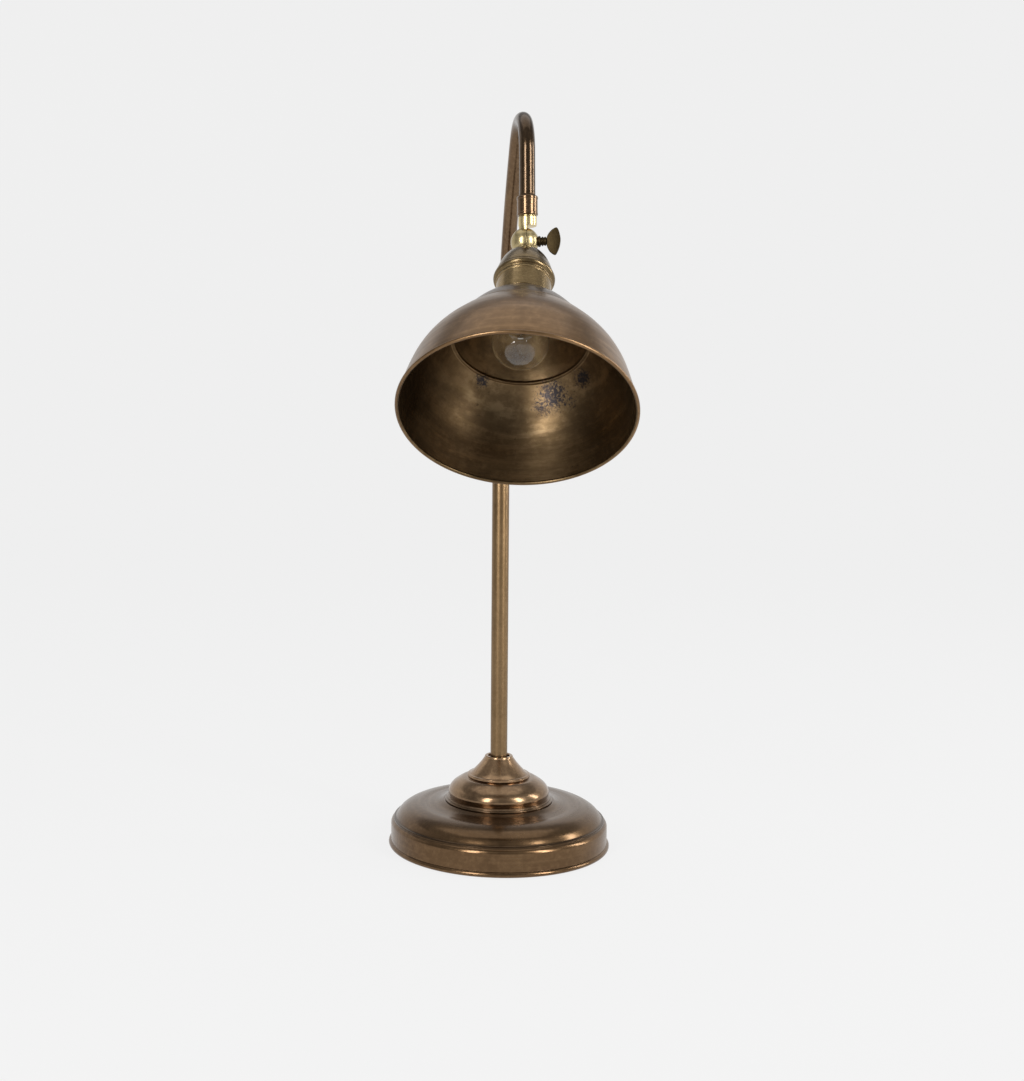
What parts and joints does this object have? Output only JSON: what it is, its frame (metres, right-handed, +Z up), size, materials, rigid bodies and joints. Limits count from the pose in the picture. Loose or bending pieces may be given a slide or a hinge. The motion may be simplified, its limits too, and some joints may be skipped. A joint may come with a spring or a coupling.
{
  "type": "swing arm desk lamp",
  "caption": "Brass desk lamp: dish base, pole, swinging crook arm, clamped ball knuckle and a deep spun shade over a clear globe bulb.",
  "frame": {"origin": "middle of the underside of the base, on the pole's axis", "axes": "+Z up along the pole; the crook lies in the YZ plane and the head leans towards -Y, the front"},
  "size_m": [0.2176, 0.4503, 0.6606],
  "materials": {
    "base_bronze": "lacquered dark bronze",
    "pole_brass": "satin aged brass",
    "arm_bronze": "dark bronze",
    "knuckle_brass": "polished",
    "screw_bronze": "dark bronze",
    "cup_brass": "aged brass",
    "shade_brass": "spun, aged",
    "felt": "felt pad",
    "iron": "as cast",
    "steel": "zinc plated",
    "black_moulding": "moulded",
    "wire": "sleeved wires",
    "white_moulding": "moulded",
    "contact_brass": "bright",
    "bulb_glass": "clear",
    "bulb_cap": "bright",
    "bulb_solder": "solder",
    "filament": "drawn wire"
  },
  "bodies": {
    "base": {"base_felt": "felt", "base_weight": "iron", "base_cover": "base_bronze", "base_dome": "base_bronze", "base_collar": "base_bronze", "base_nipple": "steel", "base_washer": "steel", "base_nut": "steel", "cord_inlet_bush": "black_moulding", "cord_inlet_nut": "black_moulding", "terminal_block": "white_moulding", "terminal_screws": "steel", "earth_screw": "contact_brass", "pole_ring": "base_bronze", "pole_plug": "pole_brass", "pole_tube": "pole_brass", "pole_bearing": "pole_brass", "pole_wires": "wire"},
    "arm": {"arm_pivot": "arm_bronze", "crook_stem": "arm_bronze", "crook_bend": "arm_bronze", "arm_ferrule": "arm_bronze", "knuckle_fork": "knuckle_brass", "arm_wires": "wire"},
    "head": {"knuckle_tongue": "knuckle_brass", "holder_cup": "cup_brass", "head_nipple": "steel", "head_nut": "steel", "holder_body": "black_moulding", "holder_sleeve": "contact_brass", "holder_contact": "contact_brass", "holder_ring": "black_moulding", "shade": "shade_brass", "head_wires": "wire"},
    "screw": {"thumb_screw": "screw_bronze", "thumb_wing": "screw_bronze"},
    "bulb": {"bulb_glass": "bulb_glass", "bulb_cap": "bulb_cap", "bulb_insulator": "black_moulding", "bulb_contact": "bulb_solder", "bulb_mount": "bulb_glass", "bulb_filament": "filament"}
  },
  "joints": [
    {"name": "arm_swing", "type": "hinge", "parent": "base", "child": "arm", "pos_m": [0, 0, 0.352], "axis": [0, 0, 1], "range_deg": [-165, 165]},
    {"name": "head_tilt", "type": "hinge", "parent": "arm", "child": "head", "pos_m": [0, -0.16521, 0.55001], "axis": [0.9751, -0.2205, 0.0212], "range_deg": [-50, 50]},
    {"name": "screw_turn", "type": "hinge", "parent": "arm", "child": "screw", "pos_m": [0, -0.16521, 0.55001], "axis": [0.9751, -0.2205, 0.0212], "range_deg": [-180, 180]},
    {"name": "bulb_out", "type": "slide", "parent": "head", "child": "bulb", "axis": [-0.1223, -0.6157, -0.7785], "range_m": [0, 0.03]}
  ]
}
